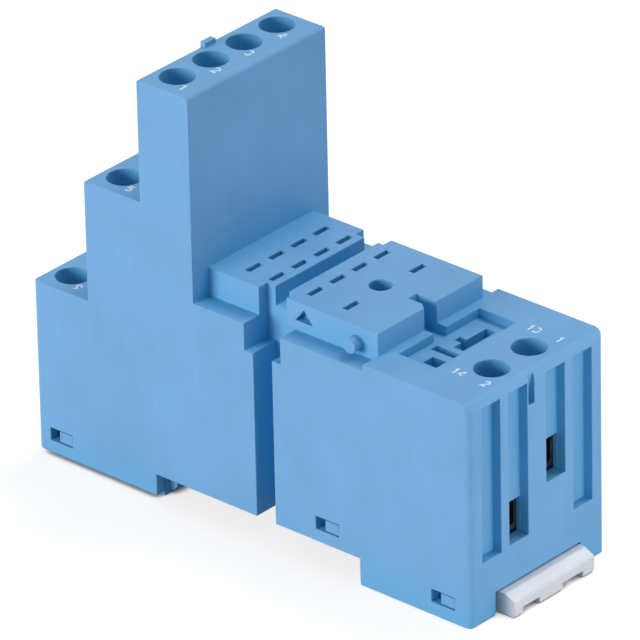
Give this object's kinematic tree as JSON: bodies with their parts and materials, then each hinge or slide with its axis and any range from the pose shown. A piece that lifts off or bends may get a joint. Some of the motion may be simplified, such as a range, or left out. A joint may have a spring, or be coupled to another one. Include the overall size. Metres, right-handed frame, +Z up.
{
  "type": "relay socket",
  "caption": "DIN-rail relay socket with terraced screw terminals, a slotted relay seat, a coil terminal block and a pull-out rail clip.",
  "frame": {"origin": "centre of the bounding box's footprint on the base plane, with the rail clip's tab counted in", "axes": "+X along the body, from the terraces to the coil block; +Y across it; +Z up from the base plane"},
  "size_m": [0.0784, 0.027, 0.0626],
  "materials": {
    "housing": "fine moulded grain",
    "base_cover": "fine moulded grain",
    "rail_clip": "smooth moulded",
    "screw_low_1": "zinc plated",
    "screw_low_2": "zinc plated",
    "screw_low_3": "zinc plated",
    "screw_low_4": "zinc plated",
    "screw_middle_1": "zinc plated",
    "screw_middle_2": "zinc plated",
    "screw_middle_3": "zinc plated",
    "screw_middle_4": "zinc plated",
    "screw_tower_1": "zinc plated",
    "screw_tower_2": "zinc plated",
    "screw_tower_3": "zinc plated",
    "screw_tower_4": "zinc plated",
    "screw_coil_1": "zinc plated",
    "screw_coil_2": "zinc plated",
    "clamp_low_1": "zinc plated",
    "clamp_low_2": "zinc plated",
    "clamp_low_3": "zinc plated",
    "clamp_low_4": "zinc plated",
    "clamp_middle_1": "zinc plated",
    "clamp_middle_2": "zinc plated",
    "clamp_middle_3": "zinc plated",
    "clamp_middle_4": "zinc plated",
    "clamp_tower_1": "zinc plated",
    "clamp_tower_2": "zinc plated",
    "clamp_tower_3": "zinc plated",
    "clamp_tower_4": "zinc plated",
    "clamp_coil_1": "zinc plated",
    "clamp_coil_2": "zinc plated",
    "contact_low_1": "stamped",
    "contact_low_2": "stamped",
    "contact_low_3": "stamped",
    "contact_low_4": "stamped",
    "contact_middle_1": "stamped",
    "contact_middle_2": "stamped",
    "contact_middle_3": "stamped",
    "contact_middle_4": "stamped",
    "contact_tower_1": "stamped",
    "contact_tower_2": "stamped",
    "contact_tower_3": "stamped",
    "contact_tower_4": "stamped",
    "contact_coil_1": "stamped",
    "contact_coil_2": "stamped"
  },
  "bodies": {
    "base": {"housing": "housing", "base_cover": "base_cover", "contact_low_1": "contact_low_1", "contact_low_2": "contact_low_2", "contact_low_3": "contact_low_3", "contact_low_4": "contact_low_4", "contact_middle_1": "contact_middle_1", "contact_middle_2": "contact_middle_2", "contact_middle_3": "contact_middle_3", "contact_middle_4": "contact_middle_4", "contact_tower_1": "contact_tower_1", "contact_tower_2": "contact_tower_2", "contact_tower_3": "contact_tower_3", "contact_tower_4": "contact_tower_4", "contact_coil_1": "contact_coil_1", "contact_coil_2": "contact_coil_2"},
    "clip": {"rail_clip": "rail_clip"},
    "screw_low_1": {"screw_low_1": "screw_low_1"},
    "clamp_low_1": {"clamp_low_1": "clamp_low_1"},
    "screw_low_2": {"screw_low_2": "screw_low_2"},
    "clamp_low_2": {"clamp_low_2": "clamp_low_2"},
    "screw_low_3": {"screw_low_3": "screw_low_3"},
    "clamp_low_3": {"clamp_low_3": "clamp_low_3"},
    "screw_low_4": {"screw_low_4": "screw_low_4"},
    "clamp_low_4": {"clamp_low_4": "clamp_low_4"},
    "screw_middle_1": {"screw_middle_1": "screw_middle_1"},
    "clamp_middle_1": {"clamp_middle_1": "clamp_middle_1"},
    "screw_middle_2": {"screw_middle_2": "screw_middle_2"},
    "clamp_middle_2": {"clamp_middle_2": "clamp_middle_2"},
    "screw_middle_3": {"screw_middle_3": "screw_middle_3"},
    "clamp_middle_3": {"clamp_middle_3": "clamp_middle_3"},
    "screw_middle_4": {"screw_middle_4": "screw_middle_4"},
    "clamp_middle_4": {"clamp_middle_4": "clamp_middle_4"},
    "screw_tower_1": {"screw_tower_1": "screw_tower_1"},
    "clamp_tower_1": {"clamp_tower_1": "clamp_tower_1"},
    "screw_tower_2": {"screw_tower_2": "screw_tower_2"},
    "clamp_tower_2": {"clamp_tower_2": "clamp_tower_2"},
    "screw_tower_3": {"screw_tower_3": "screw_tower_3"},
    "clamp_tower_3": {"clamp_tower_3": "clamp_tower_3"},
    "screw_tower_4": {"screw_tower_4": "screw_tower_4"},
    "clamp_tower_4": {"clamp_tower_4": "clamp_tower_4"},
    "screw_coil_1": {"screw_coil_1": "screw_coil_1"},
    "clamp_coil_1": {"clamp_coil_1": "clamp_coil_1"},
    "screw_coil_2": {"screw_coil_2": "screw_coil_2"},
    "clamp_coil_2": {"clamp_coil_2": "clamp_coil_2"}
  },
  "joints": [
    {"name": "clip_slide", "type": "slide", "parent": "base", "child": "clip", "axis": [1, 0, 0], "range_m": [0, 0.0025], "stiffness_N_per_m": 2000},
    {"name": "clamp_low_1_rise", "type": "slide", "parent": "base", "child": "clamp_low_1", "axis": [0, 0, 1], "range_m": [0, 0.0038]},
    {"name": "screw_low_1_turn", "type": "hinge", "parent": "base", "child": "screw_low_1", "pos_m": [-0.0356, -0.0095, 0.0144], "axis": [0, 0, -1], "range_deg": [0, 2740]},
    {"name": "clamp_low_2_rise", "type": "slide", "parent": "base", "child": "clamp_low_2", "axis": [0, 0, 1], "range_m": [0, 0.0038]},
    {"name": "screw_low_2_turn", "type": "hinge", "parent": "base", "child": "screw_low_2", "pos_m": [-0.0356, -0.003, 0.0144], "axis": [0, 0, -1], "range_deg": [0, 2740]},
    {"name": "clamp_low_3_rise", "type": "slide", "parent": "base", "child": "clamp_low_3", "axis": [0, 0, 1], "range_m": [0, 0.0038]},
    {"name": "screw_low_3_turn", "type": "hinge", "parent": "base", "child": "screw_low_3", "pos_m": [-0.0356, 0.0035, 0.0144], "axis": [0, 0, -1], "range_deg": [0, 2740]},
    {"name": "clamp_low_4_rise", "type": "slide", "parent": "base", "child": "clamp_low_4", "axis": [0, 0, 1], "range_m": [0, 0.0038]},
    {"name": "screw_low_4_turn", "type": "hinge", "parent": "base", "child": "screw_low_4", "pos_m": [-0.0356, 0.01, 0.0144], "axis": [0, 0, -1], "range_deg": [0, 2740]},
    {"name": "clamp_middle_1_rise", "type": "slide", "parent": "base", "child": "clamp_middle_1", "axis": [0, 0, 1], "range_m": [0, 0.0038]},
    {"name": "screw_middle_1_turn", "type": "hinge", "parent": "base", "child": "screw_middle_1", "pos_m": [-0.02565, -0.0095, 0.0323], "axis": [0, 0, -1], "range_deg": [0, 2740]},
    {"name": "clamp_middle_2_rise", "type": "slide", "parent": "base", "child": "clamp_middle_2", "axis": [0, 0, 1], "range_m": [0, 0.0038]},
    {"name": "screw_middle_2_turn", "type": "hinge", "parent": "base", "child": "screw_middle_2", "pos_m": [-0.02565, -0.003, 0.0323], "axis": [0, 0, -1], "range_deg": [0, 2740]},
    {"name": "clamp_middle_3_rise", "type": "slide", "parent": "base", "child": "clamp_middle_3", "axis": [0, 0, 1], "range_m": [0, 0.0038]},
    {"name": "screw_middle_3_turn", "type": "hinge", "parent": "base", "child": "screw_middle_3", "pos_m": [-0.02565, 0.0035, 0.0323], "axis": [0, 0, -1], "range_deg": [0, 2740]},
    {"name": "clamp_middle_4_rise", "type": "slide", "parent": "base", "child": "clamp_middle_4", "axis": [0, 0, 1], "range_m": [0, 0.0038]},
    {"name": "screw_middle_4_turn", "type": "hinge", "parent": "base", "child": "screw_middle_4", "pos_m": [-0.02565, 0.01, 0.0323], "axis": [0, 0, -1], "range_deg": [0, 2740]},
    {"name": "clamp_tower_1_rise", "type": "slide", "parent": "base", "child": "clamp_tower_1", "axis": [0, 0, 1], "range_m": [0, 0.0038]},
    {"name": "screw_tower_1_turn", "type": "hinge", "parent": "base", "child": "screw_tower_1", "pos_m": [-0.0157, -0.0095, 0.0502], "axis": [0, 0, -1], "range_deg": [0, 2740]},
    {"name": "clamp_tower_2_rise", "type": "slide", "parent": "base", "child": "clamp_tower_2", "axis": [0, 0, 1], "range_m": [0, 0.0038]},
    {"name": "screw_tower_2_turn", "type": "hinge", "parent": "base", "child": "screw_tower_2", "pos_m": [-0.0157, -0.003, 0.0502], "axis": [0, 0, -1], "range_deg": [0, 2740]},
    {"name": "clamp_tower_3_rise", "type": "slide", "parent": "base", "child": "clamp_tower_3", "axis": [0, 0, 1], "range_m": [0, 0.0038]},
    {"name": "screw_tower_3_turn", "type": "hinge", "parent": "base", "child": "screw_tower_3", "pos_m": [-0.0157, 0.0035, 0.0502], "axis": [0, 0, -1], "range_deg": [0, 2740]},
    {"name": "clamp_tower_4_rise", "type": "slide", "parent": "base", "child": "clamp_tower_4", "axis": [0, 0, 1], "range_m": [0, 0.0038]},
    {"name": "screw_tower_4_turn", "type": "hinge", "parent": "base", "child": "screw_tower_4", "pos_m": [-0.0157, 0.01, 0.0502], "axis": [0, 0, -1], "range_deg": [0, 2740]},
    {"name": "clamp_coil_1_rise", "type": "slide", "parent": "base", "child": "clamp_coil_1", "axis": [0, 0, 1], "range_m": [0, 0.0038]},
    {"name": "screw_coil_1_turn", "type": "hinge", "parent": "base", "child": "screw_coil_1", "pos_m": [0.0324, -0.00375, 0.0144], "axis": [0, 0, -1], "range_deg": [0, 2740]},
    {"name": "clamp_coil_2_rise", "type": "slide", "parent": "base", "child": "clamp_coil_2", "axis": [0, 0, 1], "range_m": [0, 0.0038]},
    {"name": "screw_coil_2_turn", "type": "hinge", "parent": "base", "child": "screw_coil_2", "pos_m": [0.0324, 0.00375, 0.0205], "axis": [0, 0, -1], "range_deg": [0, 2740]}
  ],
  "couplings": [
    {"joint": "screw_low_1_turn", "follows": "clamp_low_1_rise", "rad_per_m": 12566},
    {"joint": "screw_low_2_turn", "follows": "clamp_low_2_rise", "rad_per_m": 12566},
    {"joint": "screw_low_3_turn", "follows": "clamp_low_3_rise", "rad_per_m": 12566},
    {"joint": "screw_low_4_turn", "follows": "clamp_low_4_rise", "rad_per_m": 12566},
    {"joint": "screw_middle_1_turn", "follows": "clamp_middle_1_rise", "rad_per_m": 12566},
    {"joint": "screw_middle_2_turn", "follows": "clamp_middle_2_rise", "rad_per_m": 12566},
    {"joint": "screw_middle_3_turn", "follows": "clamp_middle_3_rise", "rad_per_m": 12566},
    {"joint": "screw_middle_4_turn", "follows": "clamp_middle_4_rise", "rad_per_m": 12566},
    {"joint": "screw_tower_1_turn", "follows": "clamp_tower_1_rise", "rad_per_m": 12566},
    {"joint": "screw_tower_2_turn", "follows": "clamp_tower_2_rise", "rad_per_m": 12566},
    {"joint": "screw_tower_3_turn", "follows": "clamp_tower_3_rise", "rad_per_m": 12566},
    {"joint": "screw_tower_4_turn", "follows": "clamp_tower_4_rise", "rad_per_m": 12566},
    {"joint": "screw_coil_1_turn", "follows": "clamp_coil_1_rise", "rad_per_m": 12566},
    {"joint": "screw_coil_2_turn", "follows": "clamp_coil_2_rise", "rad_per_m": 12566}
  ]
}
